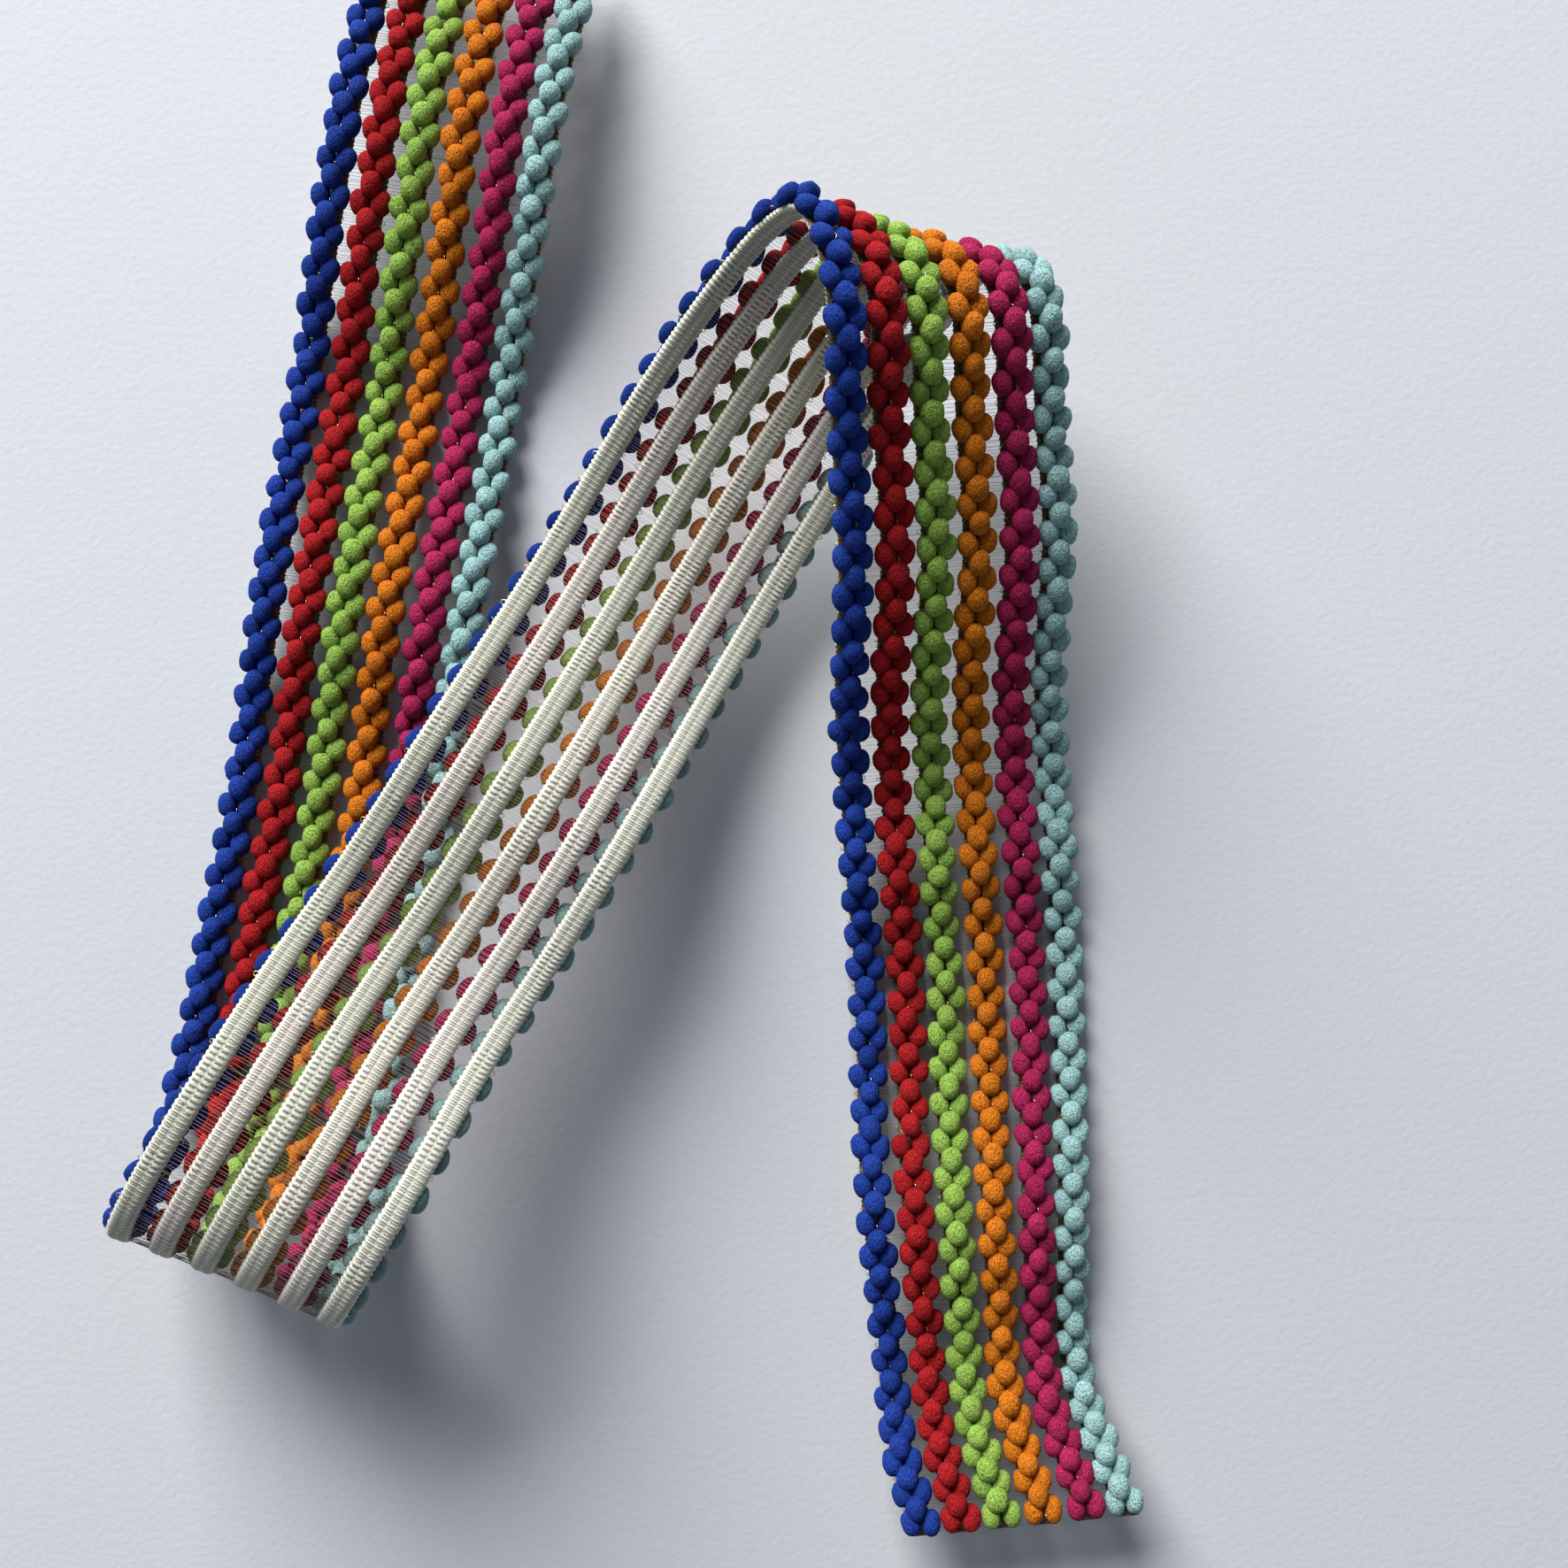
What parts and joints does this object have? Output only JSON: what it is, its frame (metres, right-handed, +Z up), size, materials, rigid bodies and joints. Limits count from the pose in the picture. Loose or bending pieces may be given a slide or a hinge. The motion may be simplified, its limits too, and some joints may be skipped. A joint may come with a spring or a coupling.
{
  "type": "elastic trim",
  "caption": "Length of flat openwork elastic trim with rows of knit bobbles on one side and woven ribs on the other, lying folded in three legs with two loops",
  "frame": {"origin": "on the table, under the stretch of the top leg that lies flat, where the back of the trim rests", "axes": "+X to the right of the picture and across the legs, +Y up the picture and roughly along the legs, +Z up from the table"},
  "size_m": [0.2077, 0.3379, 0.0603],
  "materials": {
    "ground": "ivory knit ribs with a little gold thread",
    "row_blue": "soft brushed yarn",
    "row_red": "soft brushed yarn",
    "row_lime": "soft brushed yarn",
    "row_orange": "soft brushed yarn",
    "row_magenta": "soft brushed yarn",
    "row_aqua": "soft brushed yarn"
  },
  "bodies": {
    "root": {"ground": "ground", "row_blue": "row_blue", "row_red": "row_red", "row_lime": "row_lime", "row_orange": "row_orange", "row_magenta": "row_magenta", "row_aqua": "row_aqua"}
  },
  "joints": []
}
